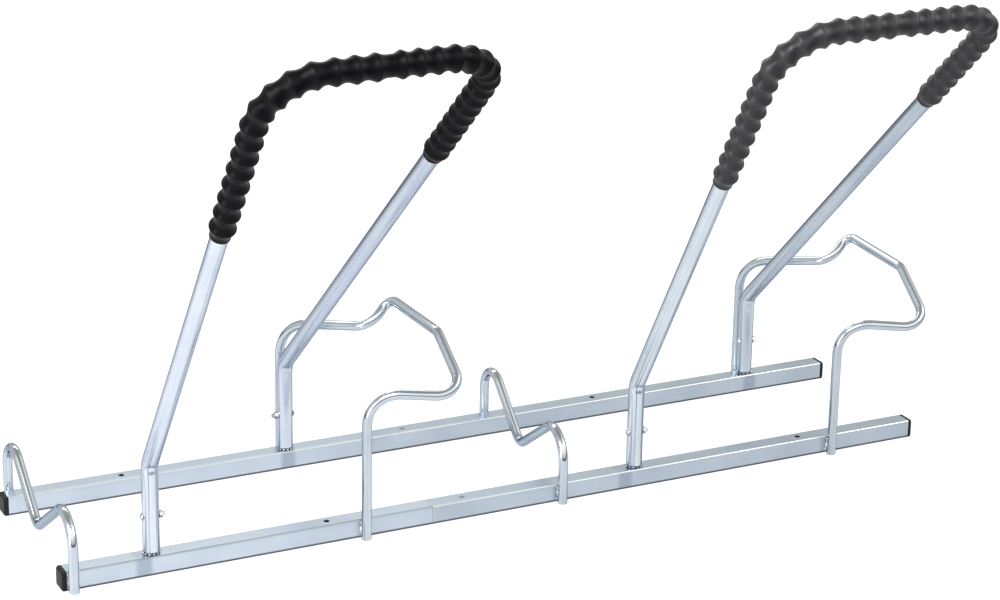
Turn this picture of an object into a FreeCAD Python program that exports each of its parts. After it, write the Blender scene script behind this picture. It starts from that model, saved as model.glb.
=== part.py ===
import FreeCAD, Part
import math
import os

os.makedirs("parts", exist_ok=True)
V = FreeCAD.Vector

# Two tier bicycle rack for four front wheels, standing on the floor. Millimetres, +Z up.
# While it is built, X = 0 is the left cut of the rails, Y = 0 the front face of the front rail
# and Z = 0 the floor. At the end everything moves to the bottom centre of its outer box.

# Rails: square tube, two lengths in line on each side, joined by an inner sleeve.
RAIL_SIDE = 30.0
RAIL_WALL = 2.0
RAIL_CORNER = 3.0
RIGHT_RAIL = 864.0
RAIL_SPACING = 288.0
FRONT_SEAM = 572.0
REAR_SEAM = 588.0
SEAM_GAP = 0.3
FLOOR_HOLE = 9.0
FLOOR_HOLE_PITCH = 825.0
FRONT_HOLE_X = 404.0
REAR_HOLE_X = 182.5

# Plastic end plugs: a domed cap with a stem pushed into the tube.
PLUG_CAP = 7.5
PLUG_CHAMFER = 2.2
PLUG_STEM = 22.0
PLUG_STEM_WALL = 3.0
PLUG_CLEARANCE = 0.2

# Inner sleeve at each seam, and the countersunk socket screw that holds it.
CONNECTOR_LENGTH = 220.0
CONNECTOR_WALL = 2.5
CONNECTOR_CLEARANCE = 0.3
SCREW_HEAD = 10.0
SCREW_SHANK = 5.0
SCREW_LENGTH = 12.0
SCREW_CLEARANCE = 0.15
SCREW_SOCKET = 3.0
SCREW_SOCKET_DEPTH = 1.5
FRONT_SCREW_OFFSET = 54.0
REAR_SCREW_OFFSET = 70.0

# Wheel holders: one round bar each, its feet on the floor, welded to the outer rail faces.
BAR = 15.0
LOW_FRONT_TOP = 144.0
LOW_REAR_TOP = 148.0
LOW_DIP = 23.5
LOW_DIP_BACK = 182.0
LOW_BEND_FRONT = 45.0
LOW_BEND_REAR = 35.0
LOW_BEND_DIP = 24.0
LOW_LEFT_FRONT_X = 8.0
LOW_LEFT_REAR_X = 11.0
LOW_LEFT_DIP_ASIDE = 3.5
LOW_RIGHT_FRONT_X = 788.5
LOW_RIGHT_REAR_X = 817.0
LOW_RIGHT_DIP_ASIDE = 6.5

HIGH_CRADLE_WIDTH = 133.0
HIGH_RUN_ACROSS = 94.0
HIGH_RUN_BACK = 190.0
HIGH_RUN_HEIGHT = 260.0
HIGH_PEAK_BACK = 211.0
HIGH_PEAK_HEIGHT = 295.0
HIGH_KNEE_BACK = 40.0
HIGH_NOSE_AHEAD = 58.0
HIGH_BEND_REAR_LEG = 62.0
HIGH_BEND_RUN = 36.0
HIGH_BEND_PEAK = 16.0
HIGH_BEND_KNEE = 22.0
HIGH_BEND_NOSE = 31.0
HIGH_BEND_FRONT_LEG = 50.0
HIGH_LEFT_FRONT_X = 459.0
HIGH_LEFT_REAR_X = 455.0
HIGH_LEFT_LEG_TOP = 232.0
HIGH_LEFT_NOSE_HEIGHT = 226.0
HIGH_LEFT_KNEE_HEIGHT = 295.0
HIGH_RIGHT_FRONT_X = 1281.0
HIGH_RIGHT_REAR_X = 1302.0
HIGH_RIGHT_LEG_TOP = 225.0
HIGH_RIGHT_NOSE_HEIGHT = 219.0
HIGH_RIGHT_KNEE_HEIGHT = 291.5

# Hoops: bent round tube, pushed over a welded stub on each rail and held by a cross bolt.
# The top bar stands in front of the rails and rises a little from its front corner to its rear one.
HOOP_TUBE = 25.0
HOOP_WALL = 2.0
HOOP_KNEE_BEND = 45.0
HOOP_FRONT_BEND = 84.0
HOOP_REAR_BEND = 80.0
HOOP_LEFT_FRONT_X = 131.0
HOOP_LEFT_REAR_X = 454.0
HOOP_LEFT_FRONT_KNEE = 167.0
HOOP_LEFT_REAR_KNEE = 173.0
HOOP_LEFT_TOP = 835.0
HOOP_LEFT_REACH = 425.5
HOOP_LEFT_FRONT_SIDEWAYS = 12.0
HOOP_LEFT_REAR_SIDEWAYS = 8.5
HOOP_LEFT_RISE = 4.6
HOOP_RIGHT_FRONT_X = 926.0
HOOP_RIGHT_REAR_X = 1305.0
HOOP_RIGHT_FRONT_KNEE = 167.0
HOOP_RIGHT_REAR_KNEE = 167.0
HOOP_RIGHT_TOP = 815.0
HOOP_RIGHT_REACH = 404.0
HOOP_RIGHT_FRONT_SIDEWAYS = -36.0
HOOP_RIGHT_REAR_SIDEWAYS = -55.5
HOOP_RIGHT_RISE = 2.8
STUB_HEIGHT = 85.0
STUB_WALL = 2.5
STUB_CLEARANCE = 0.3
STUB_CHAMFER = 1.0
FOOT_WELD_HEIGHT = 4.5
FOOT_WELD_RADIUS = 14.2
FOOT_WELD_SLOPE = 1.6
FOOT_WELD_CLEARANCE = 0.1

# Cross bolts of the hoops, above the rail's top face.
BOLT_ABOVE_RAIL = 58.0
BOLT_SHANK = 6.0
BOLT_HEAD = 11.0
BOLT_HEAD_HEIGHT = 3.6
BOLT_TIP = 4.0
BOLT_HOLE_CLEARANCE = 0.3
NUT_ACROSS = 10.0
NUT_HEIGHT = 5.0
NUT_CLEARANCE = 0.05

# Ribbed rubber sleeves: two on each hoop, meeting at the middle of the top bar.
# Each reaches down its leg by a length that is measured from the hoop's corner.
SLEEVE_RIB = 37.5
SLEEVE_VALLEY = 29.5
SLEEVE_CLEARANCE = 0.3
SLEEVE_COLLAR = 4.0
SLEEVE_MEETING_GAP = 1.0
LEFT_FRONT_SLEEVE_DOWN = 292.0
LEFT_REAR_SLEEVE_DOWN = 276.0
RIGHT_FRONT_SLEEVE_DOWN = 295.0
RIGHT_REAR_SLEEVE_DOWN = 251.0
LONG_SLEEVE_RIBS = 16
SHORT_SLEEVE_RIBS = 15
RIB_SLOPE = 0.24
RIB_CREST = 0.12

# Weld beads between the bars and the rails.
BEAD_RADIUS = 3.2
BEAD_LENGTH = 24.0
BEAD_SLOPE = 1.9
BEAD_ASIDE = 5.4
BEAD_OFF_RAIL = 1.2

rail_inside = RAIL_SIDE - 2 * RAIL_WALL
front_rail_y = RAIL_SIDE / 2
rear_rail_y = RAIL_SPACING + RAIL_SIDE / 2
front_leg_y = -BAR / 2
rear_leg_y = RAIL_SPACING + RAIL_SIDE + BAR / 2


def rounded_square(side, corner, x):
    """A square with rounded corners, centred on the X axis, as a wire at x."""
    half = side / 2
    box = Part.makeBox(1.0, side, side, V(x, -half, -half))
    if corner > 0:
        long_edges = [edge for edge in box.Edges if abs(edge.BoundBox.XLength - 1.0) < 0.01]
        box = box.makeFillet(corner, long_edges)
    for face in box.Faces:
        if abs(face.CenterOfMass.x - x) < 0.001:
            return face.OuterWire


def square_tube(x0, x1, side, wall, corner, y, z):
    """A straight square tube along X between x0 and x1."""
    outer = Part.Face(rounded_square(side, corner, x0)).extrude(V(x1 - x0, 0, 0))
    inner_corner = max(corner - wall, 0.5)
    inner = Part.Face(rounded_square(side - 2 * wall, inner_corner, x0 - 1)).extrude(V(x1 - x0 + 2, 0, 0))
    tube = outer.cut(inner)
    tube.translate(V(0, y, z))
    return tube


def bent_path(points, radii):
    """Straight runs joined by tangent arcs, as a list of pieces that can be walked along."""
    pieces = []
    start = points[0]
    for before, corner, after, radius in zip(points, points[1:], points[2:], radii):
        inward = (before - corner).normalize()
        outward = (after - corner).normalize()
        turn = math.pi - inward.getAngle(outward)
        tangent = radius * math.tan(turn / 2)
        arc_start = corner + inward * tangent
        arc_end = corner + outward * tangent
        middle_way = (inward + outward).normalize()
        centre = corner + middle_way * (radius / math.cos(turn / 2))
        arc_middle = centre - middle_way * radius
        pieces.append(("line", start, arc_start))
        pieces.append(("arc", arc_start, arc_middle, arc_end, centre, radius, turn))
        start = arc_end
    pieces.append(("line", start, points[-1]))
    return pieces


def path_wire(pieces):
    edges = []
    for piece in pieces:
        if piece[0] == "line":
            edges.append(Part.LineSegment(piece[1], piece[2]).toShape())
        else:
            edges.append(Part.Arc(piece[1], piece[2], piece[3]).toShape())
    return Part.Wire(edges)


def path_lengths(pieces):
    lengths = []
    for piece in pieces:
        if piece[0] == "line":
            lengths.append(piece[1].distanceToPoint(piece[2]))
        else:
            lengths.append(piece[5] * piece[6])
    return lengths


def walk(pieces, distance):
    """The point and the direction at a distance along the path."""
    for piece, length in zip(pieces, path_lengths(pieces)):
        if distance <= length or piece is pieces[-1]:
            break
        distance = distance - length
    if piece[0] == "line":
        direction = (piece[2] - piece[1]).normalize()
        return piece[1] + direction * distance, direction
    start, end, centre, radius, turn = piece[1], piece[3], piece[4], piece[5], piece[6]
    spoke = (start - centre).normalize()
    axis = spoke.cross(end - centre).normalize()
    angle = distance / radius
    forward = axis.cross(spoke)
    point = centre + spoke * (radius * math.cos(angle)) + forward * (radius * math.sin(angle))
    direction = forward * math.cos(angle) - spoke * math.sin(angle)
    return point, direction


def swept_round(pieces, diameter):
    """A round bar along a bent path."""
    direction = (pieces[0][2] - pieces[0][1]).normalize()
    profile = Part.Wire([Part.Circle(pieces[0][1], direction, diameter / 2).toShape()])
    bar = path_wire(pieces).makePipeShell([profile], True, False)
    expected = math.pi * diameter ** 2 / 4 * sum(path_lengths(pieces))
    print("swept bar", round(diameter, 1), "volume to section times length", round(bar.Volume / expected, 4))
    return bar


def cylinder_x(diameter, x0, x1, y, z):
    return Part.makeCylinder(diameter / 2, x1 - x0, V(x0, y, z), V(1, 0, 0))


shapes = {}

# Rails, with the holes for floor bolts through both walls and the screw's hole by the seam.
screw_hole = SCREW_SHANK + 2 * SCREW_CLEARANCE


def screw_cone(x, y, clearance):
    """The space of a countersunk head whose top lies flush with the rail."""
    head = SCREW_HEAD / 2 + clearance
    shank = SCREW_SHANK / 2 + clearance
    return Part.makeCone(shank, head, head - shank, V(x, y, RAIL_SIDE - (head - shank)), V(0, 0, 1))


def rail(x0, x1, y, holes, screws):
    tube = square_tube(x0, x1, RAIL_SIDE, RAIL_WALL, RAIL_CORNER, y, RAIL_SIDE / 2)
    for x in holes:
        tube = tube.cut(Part.makeCylinder(FLOOR_HOLE / 2, RAIL_SIDE + 2, V(x, y, -1)))
    for x in screws:
        tube = tube.cut(screw_cone(x, y, SCREW_CLEARANCE))
        tube = tube.cut(Part.makeCylinder(screw_hole / 2, RAIL_SIDE, V(x, y, RAIL_SIDE / 2)))
    return tube


front_screw_x = FRONT_SEAM + FRONT_SCREW_OFFSET
rear_screw_x = REAR_SEAM + REAR_SCREW_OFFSET
front_end = FRONT_SEAM + RIGHT_RAIL
rear_end = REAR_SEAM + RIGHT_RAIL
half_gap = SEAM_GAP / 2
shapes["front_rail_left"] = rail(0, FRONT_SEAM - half_gap, front_rail_y, [FRONT_HOLE_X], [])
shapes["front_rail_right"] = rail(
    FRONT_SEAM + half_gap, front_end, front_rail_y, [FRONT_HOLE_X + FLOOR_HOLE_PITCH], [front_screw_x])
shapes["rear_rail_left"] = rail(0, REAR_SEAM - half_gap, rear_rail_y, [REAR_HOLE_X], [])
shapes["rear_rail_right"] = rail(
    REAR_SEAM + half_gap, rear_end, rear_rail_y, [REAR_HOLE_X + FLOOR_HOLE_PITCH], [rear_screw_x])


# End plugs.
def end_plug(x, outward, y):
    """A chamfered cap on the rail's end and a hollow stem inside it; outward is -1 or 1."""
    half = RAIL_SIDE / 2
    stem_side = rail_inside - 2 * PLUG_CLEARANCE
    cap = Part.makeLoft([
        rounded_square(RAIL_SIDE, RAIL_CORNER, 0),
        rounded_square(RAIL_SIDE, RAIL_CORNER, PLUG_CAP - PLUG_CHAMFER),
        rounded_square(RAIL_SIDE - 2 * PLUG_CHAMFER, RAIL_CORNER, PLUG_CAP)], True, True)
    stem = Part.makeBox(PLUG_STEM + 1, stem_side, stem_side, V(-PLUG_STEM, -stem_side / 2, -stem_side / 2))
    hollow_side = stem_side - 2 * PLUG_STEM_WALL
    hollow = Part.makeBox(
        PLUG_STEM, hollow_side, hollow_side, V(-PLUG_STEM - 1, -hollow_side / 2, -hollow_side / 2))
    plug = cap.fuse(stem.cut(hollow)).removeSplitter()
    if outward < 0:
        plug.rotate(V(0, 0, 0), V(0, 0, 1), 180)
    plug.translate(V(x, y, half))
    return plug


shapes["front_left_end_plug"] = end_plug(0, -1, front_rail_y)
shapes["front_right_end_plug"] = end_plug(front_end, 1, front_rail_y)
shapes["rear_left_end_plug"] = end_plug(0, -1, rear_rail_y)
shapes["rear_right_end_plug"] = end_plug(rear_end, 1, rear_rail_y)

# Inner sleeves at the seams, and their screws.
connector_side = rail_inside - 2 * CONNECTOR_CLEARANCE


def connector(seam, y, screw_x):
    sleeve = square_tube(seam - CONNECTOR_LENGTH / 2, seam + CONNECTOR_LENGTH / 2,
                         connector_side, CONNECTOR_WALL, RAIL_CORNER - RAIL_WALL, y, RAIL_SIDE / 2)
    return sleeve.cut(Part.makeCylinder(screw_hole / 2, RAIL_SIDE, V(screw_x, y, RAIL_SIDE / 2)))


shapes["front_rail_connector"] = connector(FRONT_SEAM, front_rail_y, front_screw_x)
shapes["rear_rail_connector"] = connector(REAR_SEAM, rear_rail_y, rear_screw_x)


def connector_screw(x, y):
    shank = Part.makeCylinder(SCREW_SHANK / 2, SCREW_LENGTH, V(x, y, RAIL_SIDE - SCREW_LENGTH))
    socket_floor = V(x, y, RAIL_SIDE - SCREW_SOCKET_DEPTH)
    socket = Part.makeCylinder(SCREW_SOCKET / 2, SCREW_SOCKET_DEPTH + 1, socket_floor)
    return screw_cone(x, y, 0).fuse(shank).cut(socket).removeSplitter()


shapes["connector_screws"] = Part.makeCompound([
    connector_screw(front_screw_x, front_rail_y), connector_screw(rear_screw_x, rear_rail_y)])


# Low wheel holders: up at the back, down to a dip that the tyre rolls into, up and down again.
def low_holder(front_x, rear_x, dip_aside):
    skew = (rear_x - front_x) / (rear_leg_y - front_leg_y)
    dip_x = front_x + skew * (LOW_DIP_BACK - front_leg_y) + dip_aside
    points = [
        V(rear_x, rear_leg_y, 0),
        V(rear_x, rear_leg_y, LOW_REAR_TOP),
        V(dip_x, LOW_DIP_BACK, LOW_DIP),
        V(front_x, front_leg_y, LOW_FRONT_TOP),
        V(front_x, front_leg_y, 0)]
    return bent_path(points, [LOW_BEND_REAR, LOW_BEND_DIP, LOW_BEND_FRONT])


# High wheel holders: the bar makes a raised cradle beside its legs, with a nose in front.
def high_holder(front_x, rear_x, leg_top, nose_height, knee_height):
    skew = (rear_x - front_x) / (rear_leg_y - front_leg_y)

    def cradle(across, back, height):
        return V(front_x + across + back * skew, front_leg_y + back - across * skew, height)

    points = [
        V(rear_x, rear_leg_y, 0),
        V(rear_x, rear_leg_y, leg_top),
        cradle(HIGH_RUN_ACROSS, HIGH_RUN_BACK, HIGH_RUN_HEIGHT),
        cradle(HIGH_CRADLE_WIDTH, HIGH_PEAK_BACK, HIGH_PEAK_HEIGHT),
        cradle(HIGH_CRADLE_WIDTH, HIGH_KNEE_BACK, knee_height),
        cradle(HIGH_CRADLE_WIDTH, -HIGH_NOSE_AHEAD, nose_height),
        V(front_x, front_leg_y, leg_top),
        V(front_x, front_leg_y, 0)]
    return bent_path(points, [
        HIGH_BEND_REAR_LEG, HIGH_BEND_RUN, HIGH_BEND_PEAK,
        HIGH_BEND_KNEE, HIGH_BEND_NOSE, HIGH_BEND_FRONT_LEG])


shapes["low_wheel_holder_left"] = swept_round(
    low_holder(LOW_LEFT_FRONT_X, LOW_LEFT_REAR_X, LOW_LEFT_DIP_ASIDE), BAR)
shapes["low_wheel_holder_right"] = swept_round(
    low_holder(LOW_RIGHT_FRONT_X, LOW_RIGHT_REAR_X, LOW_RIGHT_DIP_ASIDE), BAR)
shapes["high_wheel_holder_left"] = swept_round(
    high_holder(HIGH_LEFT_FRONT_X, HIGH_LEFT_REAR_X,
                HIGH_LEFT_LEG_TOP, HIGH_LEFT_NOSE_HEIGHT, HIGH_LEFT_KNEE_HEIGHT), BAR)
shapes["high_wheel_holder_right"] = swept_round(
    high_holder(HIGH_RIGHT_FRONT_X, HIGH_RIGHT_REAR_X,
                HIGH_RIGHT_LEG_TOP, HIGH_RIGHT_NOSE_HEIGHT, HIGH_RIGHT_KNEE_HEIGHT), BAR)


# Hoops, stubs, foot welds, cross bolts and sleeves.
foot_z = RAIL_SIDE + FOOT_WELD_HEIGHT


def hoop_path(front_x, rear_x, front_knee, rear_knee, top, reach, front_sideways, rear_sideways, rise):
    points = [
        V(front_x, front_rail_y, foot_z),
        V(front_x, front_rail_y, front_knee),
        V(front_x + front_sideways, -reach, top - rise / 2),
        V(rear_x + rear_sideways, -reach, top + rise / 2),
        V(rear_x, rear_rail_y, rear_knee),
        V(rear_x, rear_rail_y, foot_z)]
    return bent_path(points, [HOOP_KNEE_BEND, HOOP_FRONT_BEND, HOOP_REAR_BEND, HOOP_KNEE_BEND])


bolt_z = RAIL_SIDE + BOLT_ABOVE_RAIL
bolt_hole = BOLT_SHANK + 2 * BOLT_HOLE_CLEARANCE
stub_outside = HOOP_TUBE - 2 * HOOP_WALL - 2 * STUB_CLEARANCE


def hoop(path, posts):
    tube = swept_round(path, HOOP_TUBE).cut(swept_round(path, HOOP_TUBE - 2 * HOOP_WALL))
    for x, y, way in posts:
        tube = tube.cut(cylinder_x(bolt_hole, x - HOOP_TUBE, x + HOOP_TUBE, y, bolt_z))
    return tube


def stub(x, y):
    outer = Part.makeCylinder(stub_outside / 2, STUB_HEIGHT, V(x, y, RAIL_SIDE))
    outer = outer.makeChamfer(STUB_CHAMFER, [outer.Edges[0]])
    inner = Part.makeCylinder(stub_outside / 2 - STUB_WALL, STUB_HEIGHT + 2, V(x, y, RAIL_SIDE - 1))
    return outer.cut(inner).cut(cylinder_x(bolt_hole, x - HOOP_TUBE, x + HOOP_TUBE, y, bolt_z))


def foot_weld(x, y):
    """The ring of weld between the rail, the stub and the hoop's foot."""
    ring = Part.makeCylinder(FOOT_WELD_RADIUS, FOOT_WELD_HEIGHT, V(x, y, RAIL_SIDE))
    rim = [edge for edge in ring.Edges if edge.Closed and edge.BoundBox.ZMin > foot_z - 0.01]
    ring = ring.makeChamfer(FOOT_WELD_SLOPE, rim)
    bore = stub_outside / 2 + FOOT_WELD_CLEARANCE
    return ring.cut(Part.makeCylinder(bore, FOOT_WELD_HEIGHT + 2, V(x, y, RAIL_SIDE - 1)))


def cross_bolt(x, y, way):
    """A round-headed bolt along X, its tip pointing right when way is 1 and left when it is -1."""
    seat = HOOP_TUBE / 2
    tip = seat + NUT_HEIGHT + BOLT_TIP
    shank = cylinder_x(BOLT_SHANK, -seat, tip, 0, 0)
    dome_radius = (BOLT_HEAD ** 2 / 4 + BOLT_HEAD_HEIGHT ** 2) / (2 * BOLT_HEAD_HEIGHT)
    dome = Part.makeSphere(dome_radius, V(dome_radius - seat - BOLT_HEAD_HEIGHT, 0, 0))
    head = dome.common(cylinder_x(BOLT_HEAD, -seat - BOLT_HEAD_HEIGHT - 1, -seat, 0, 0))
    return set_bolt(shank.fuse(head), x, y, way)


def nut(x, y, way):
    seat = HOOP_TUBE / 2
    radius = NUT_ACROSS / math.sqrt(3)
    corners = [V(seat, radius * math.cos(i * math.pi / 3), radius * math.sin(i * math.pi / 3))
               for i in range(7)]
    body = Part.Face(Part.makePolygon(corners)).extrude(V(NUT_HEIGHT, 0, 0))
    bore = cylinder_x(BOLT_SHANK + 2 * NUT_CLEARANCE, seat - 1, seat + NUT_HEIGHT + 1, 0, 0)
    return set_bolt(body.cut(bore), x, y, way)


def set_bolt(shape, x, y, way):
    if way < 0:
        shape.rotate(V(0, 0, 0), V(0, 0, 1), 180)
    shape.translate(V(x, y, bolt_z))
    return shape


def loft_ring(path, distance, radius, side):
    """A circle square to the path, with the same start direction all along."""
    point, direction = walk(path, distance)
    turned = FreeCAD.Rotation(side, direction.cross(side), direction, "ZXY")
    ring = Part.Wire([Part.Circle(V(0, 0, 0), V(0, 0, 1), radius).toShape()])
    ring.Placement = FreeCAD.Placement(point, turned)
    return ring


def ribbed_sleeve(path, start, end, side, ribs):
    """A ribbed tube from start to end along the hoop, with a smooth collar at each end."""
    crest = SLEEVE_RIB / 2
    valley = SLEEVE_VALLEY / 2
    pitch = (end - start - 2 * SLEEVE_COLLAR) / ribs
    rings = [loft_ring(path, start, valley, side)]
    for index in range(ribs):
        foot = start + SLEEVE_COLLAR + index * pitch
        rise = RIB_SLOPE * pitch
        top = RIB_CREST * pitch
        foot = foot + (pitch - top - 2 * rise) / 2
        rings.append(loft_ring(path, foot, valley, side))
        rings.append(loft_ring(path, foot + rise, crest, side))
        rings.append(loft_ring(path, foot + rise + top, crest, side))
        rings.append(loft_ring(path, foot + 2 * rise + top, valley, side))
    rings.append(loft_ring(path, end, valley, side))
    outside = Part.makeLoft(rings, True, True)
    bore = HOOP_TUBE / 2 + SLEEVE_CLEARANCE
    return outside.cut(bore_along(path, start, end, bore))


def bore_along(path, start, end, radius):
    """The sleeve's bore: a round sweep along the same run, arc and run as the hoop."""
    cuts = [start - 2, end + 2]
    run = []
    passed = 0
    for piece, length in zip(path, path_lengths(path)):
        low = max(cuts[0], passed)
        high = min(cuts[1], passed + length)
        if high - low > 0.001:
            first = walk(path, low + 0.0001)[0]
            last = walk(path, high - 0.0001)[0]
            middle = walk(path, (low + high) / 2)[0]
            if piece[0] == "line":
                run.append((piece[0], first, last))
            else:
                run.append((piece[0], piece[1], middle, piece[3], piece[4], piece[5], piece[6]))
        passed = passed + length
    joined = []
    for index, piece in enumerate(run):
        if piece[0] == "line":
            first = piece[1] if index == 0 else run[index - 1][3]
            last = piece[2] if index == len(run) - 1 else run[index + 1][1]
            joined.append(("line", first, last))
        else:
            joined.append(piece)
    return swept_round(joined, 2 * radius)


bolts = []
nuts = []
foot_welds = []
hoops = {
    "left": dict(
        path=hoop_path(HOOP_LEFT_FRONT_X, HOOP_LEFT_REAR_X, HOOP_LEFT_FRONT_KNEE, HOOP_LEFT_REAR_KNEE,
                       HOOP_LEFT_TOP, HOOP_LEFT_REACH, HOOP_LEFT_FRONT_SIDEWAYS,
                       HOOP_LEFT_REAR_SIDEWAYS, HOOP_LEFT_RISE),
        posts=[(HOOP_LEFT_FRONT_X, front_rail_y, 1), (HOOP_LEFT_REAR_X, rear_rail_y, -1)],
        down=(LEFT_FRONT_SLEEVE_DOWN, LEFT_REAR_SLEEVE_DOWN),
        ribs=(SHORT_SLEEVE_RIBS, LONG_SLEEVE_RIBS)),
    "right": dict(
        path=hoop_path(HOOP_RIGHT_FRONT_X, HOOP_RIGHT_REAR_X, HOOP_RIGHT_FRONT_KNEE, HOOP_RIGHT_REAR_KNEE,
                       HOOP_RIGHT_TOP, HOOP_RIGHT_REACH, HOOP_RIGHT_FRONT_SIDEWAYS,
                       HOOP_RIGHT_REAR_SIDEWAYS, HOOP_RIGHT_RISE),
        posts=[(HOOP_RIGHT_FRONT_X, front_rail_y, 1), (HOOP_RIGHT_REAR_X, rear_rail_y, 1)],
        down=(RIGHT_FRONT_SLEEVE_DOWN, RIGHT_REAR_SLEEVE_DOWN),
        ribs=(LONG_SLEEVE_RIBS, SHORT_SLEEVE_RIBS))}
for name, plan in hoops.items():
    path = plan["path"]
    lengths = path_lengths(path)
    shapes["leaning_hoop_" + name] = hoop(path, plan["posts"])
    shapes["hoop_stub_front_" + name] = stub(*plan["posts"][0][:2])
    shapes["hoop_stub_rear_" + name] = stub(*plan["posts"][1][:2])
    for x, y, way in plan["posts"]:
        bolts.append(cross_bolt(x, y, way))
        nuts.append(nut(x, y, way))
        foot_welds.append(foot_weld(x, y))
    front_corner_run = path[3][5] * math.tan(path[3][6] / 2)
    rear_corner_run = path[5][5] * math.tan(path[5][6] / 2)
    middle = sum(lengths[:4]) + lengths[4] / 2
    front_start = sum(lengths[:3]) - plan["down"][0] + front_corner_run
    rear_stop = sum(lengths[:6]) + plan["down"][1] - rear_corner_run
    across = V(1, 0, 0)
    front_leg = (path[2][2] - path[2][1]).normalize()
    rear_leg = (path[6][2] - path[6][1]).normalize()
    front_side = front_leg.cross(across).normalize()
    rear_side = across.cross(rear_leg).normalize()
    shapes[name + "_hoop_front_sleeve"] = ribbed_sleeve(
        path, front_start, middle - SLEEVE_MEETING_GAP / 2, front_side, plan["ribs"][0])
    shapes[name + "_hoop_rear_sleeve"] = ribbed_sleeve(
        path, middle + SLEEVE_MEETING_GAP / 2, rear_stop, rear_side, plan["ribs"][1])

shapes["hoop_bolts"] = Part.makeCompound(bolts)
shapes["hoop_nuts"] = Part.makeCompound(nuts)
shapes["hoop_foot_welds"] = Part.makeCompound(foot_welds)


# Weld beads in the corner between each bar and the rail face that it stands against.
def bead(leg_x, side, face_y, leg_y):
    x = leg_x + side * BEAD_ASIDE
    y = face_y + math.copysign(BEAD_OFF_RAIL, leg_y - face_y)
    low = (RAIL_SIDE - BEAD_LENGTH) / 2
    body = Part.makeCylinder(BEAD_RADIUS, BEAD_LENGTH, V(x, y, low))
    body = body.makeChamfer(BEAD_SLOPE, [edge for edge in body.Edges if edge.Closed])
    leg = Part.makeCylinder(BAR / 2, RAIL_SIDE + 2, V(leg_x, leg_y, -1))
    rail_space = Part.makeBox(4 * BAR, RAIL_SIDE, RAIL_SIDE * 2,
                              V(x - 2 * BAR, face_y if leg_y < face_y else face_y - RAIL_SIDE, -1))
    return body.cut(leg).cut(rail_space)


beads = []
for leg_x in (LOW_LEFT_FRONT_X, HIGH_LEFT_FRONT_X, LOW_RIGHT_FRONT_X, HIGH_RIGHT_FRONT_X):
    for side in (-1, 1):
        beads.append(bead(leg_x, side, 0, front_leg_y))
for leg_x in (LOW_LEFT_REAR_X, HIGH_LEFT_REAR_X, LOW_RIGHT_REAR_X, HIGH_RIGHT_REAR_X):
    for side in (-1, 1):
        beads.append(bead(leg_x, side, RAIL_SPACING + RAIL_SIDE, rear_leg_y))
shapes["weld_beads"] = Part.makeCompound([solid for shape in beads for solid in shape.Solids])

# The origin goes to the bottom centre of the whole rack.
everything = Part.makeCompound(list(shapes.values()))
box = everything.optimalBoundingBox(False, False)
shift = V(-(box.XMin + box.XMax) / 2, -(box.YMin + box.YMax) / 2, 0)
print("outer box", [round(v, 2) for v in (box.XMin, box.XMax, box.YMin, box.YMax, box.ZMin, box.ZMax)])
print("shift", [round(v, 4) for v in shift])
for node, shape in shapes.items():
    shape.translate(shift)
    solids = shape.Solids
    print(node, len(solids), shape.isValid(), round(shape.Volume))
    (solids[0] if len(solids) == 1 else Part.makeCompound(solids)).exportStep("parts/" + node + ".step")
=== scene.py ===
import math
import bpy
from mathutils import Matrix, Vector


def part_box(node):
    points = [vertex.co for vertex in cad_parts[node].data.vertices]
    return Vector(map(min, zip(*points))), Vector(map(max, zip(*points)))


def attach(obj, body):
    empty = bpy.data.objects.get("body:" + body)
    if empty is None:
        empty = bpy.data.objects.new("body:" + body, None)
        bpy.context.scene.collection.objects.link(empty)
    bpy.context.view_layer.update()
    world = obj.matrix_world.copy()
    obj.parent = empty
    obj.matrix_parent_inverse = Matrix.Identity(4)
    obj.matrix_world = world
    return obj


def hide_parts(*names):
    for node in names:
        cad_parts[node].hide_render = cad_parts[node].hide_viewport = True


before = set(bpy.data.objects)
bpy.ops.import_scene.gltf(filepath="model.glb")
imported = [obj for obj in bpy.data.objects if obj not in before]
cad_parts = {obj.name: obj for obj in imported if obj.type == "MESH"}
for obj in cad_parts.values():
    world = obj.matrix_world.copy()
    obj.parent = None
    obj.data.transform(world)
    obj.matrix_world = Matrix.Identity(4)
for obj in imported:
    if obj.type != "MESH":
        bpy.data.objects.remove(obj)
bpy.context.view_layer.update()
scene = bpy.context.scene
body = "root"
print("frame loaded:", len(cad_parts), "nodes")

# Sizes below are measured from the left end of the front rail, its front face and the floor, in metres.
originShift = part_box("front_rail_left")[0]

rack = {
    "railSide": 0.030,
    "railSpacing": 0.288,
    "bar": 0.015,
    "hoopTube": 0.025,
    "barShown": 0.01494,      # a hair thinner, so that the finer bar stays inside the CAD one's box
}
frontLegY = -rack["bar"] / 2
rearLegY = rack["railSpacing"] + rack["railSide"] + rack["bar"] / 2
frontPostY = rack["railSide"] / 2
rearPostY = rack["railSpacing"] + rack["railSide"] / 2


# Camera: solved from the photograph, which is 1000 pixels wide and 600 high
cameraPlace = {
    "spot": Vector((-0.975989, -3.258832, 1.607243)),   # from the left end of the front rail
    "azimuth": 26.4127,
    "elevation": 17.5327,
    "roll": 1.0030,
    "focalPixels": 2600.0,
    "axisPixel": (480.25, 229.83),   # where the lens axis meets the picture
    "pictureWidth": 1000,
    "pictureMiddle": (500, 300),
    "sensorWidth": 36,
    "farthest": 60,
}


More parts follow.
